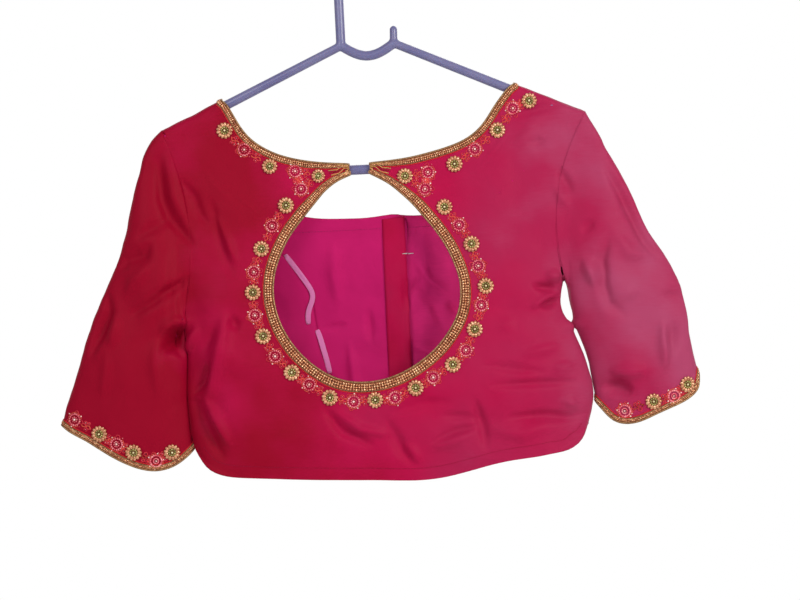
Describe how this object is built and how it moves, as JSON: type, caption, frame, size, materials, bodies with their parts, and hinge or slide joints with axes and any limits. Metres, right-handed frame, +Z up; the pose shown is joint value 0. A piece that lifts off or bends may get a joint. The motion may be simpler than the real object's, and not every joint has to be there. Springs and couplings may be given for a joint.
{
  "type": "choli blouse on a hanger",
  "caption": "Short lined choli blouse with elbow sleeves, a beaded keyhole back and a hooked front, hanging on a tubular plastic hanger.",
  "frame": {"origin": "inner top of the hanger's hook, where a rail carries it", "axes": "+X across the blouse towards the wearer's right sleeve, +Y from its back to its front, +Z up"},
  "size_m": [0.6468, 0.0672, 0.5445],
  "materials": {
    "crimson_silk": "soft silk sheen",
    "lining_cloth": "matt woven",
    "gold_beads": "antique gold beadwork",
    "hanger_plastic": "glossy moulded",
    "hook_wire": "plated wire"
  },
  "bodies": {
    "root": {"hanger": "hanger_plastic", "back": "crimson_silk", "keyhole_beading": "gold_beads", "neck_beading_left": "gold_beads", "neck_beading_right": "gold_beads", "rosette_back_01": "gold_beads", "rosette_back_02": "gold_beads", "rosette_back_03": "gold_beads", "rosette_back_04": "gold_beads", "rosette_back_05": "gold_beads", "rosette_back_06": "gold_beads", "rosette_back_07": "gold_beads", "rosette_back_08": "gold_beads", "rosette_back_09": "gold_beads", "rosette_back_10": "gold_beads", "rosette_back_11": "gold_beads", "rosette_back_12": "gold_beads", "rosette_back_13": "gold_beads", "rosette_back_14": "gold_beads", "rosette_back_15": "gold_beads", "rosette_back_16": "gold_beads", "rosette_back_17": "gold_beads", "rosette_back_18": "gold_beads", "rosette_back_19": "gold_beads", "rosette_back_20": "gold_beads", "centre_front_left": "crimson_silk", "side_front_left": "crimson_silk", "lining_centre_left": "lining_cloth", "lining_side_left": "lining_cloth", "placket_facing": "crimson_silk", "centre_front_right": "crimson_silk", "side_front_right": "crimson_silk", "lining_centre_right": "lining_cloth", "hook_1": "hook_wire", "hook_2": "hook_wire", "hook_3": "hook_wire", "hook_4": "hook_wire", "hook_5": "hook_wire", "sleeve_left": "crimson_silk", "cuff_beading_left": "gold_beads", "rosette_cuff_left_1": "gold_beads", "rosette_cuff_left_2": "gold_beads", "rosette_cuff_left_3": "gold_beads", "rosette_cuff_left_4": "gold_beads", "rosette_cuff_left_5": "gold_beads", "rosette_cuff_left_6": "gold_beads", "sleeve_right": "crimson_silk", "cuff_beading_right": "gold_beads", "rosette_cuff_right_1": "gold_beads", "rosette_cuff_right_2": "gold_beads", "rosette_cuff_right_3": "gold_beads", "rosette_cuff_right_4": "gold_beads", "rosette_cuff_right_5": "gold_beads", "rosette_cuff_right_6": "gold_beads"}
  },
  "joints": []
}
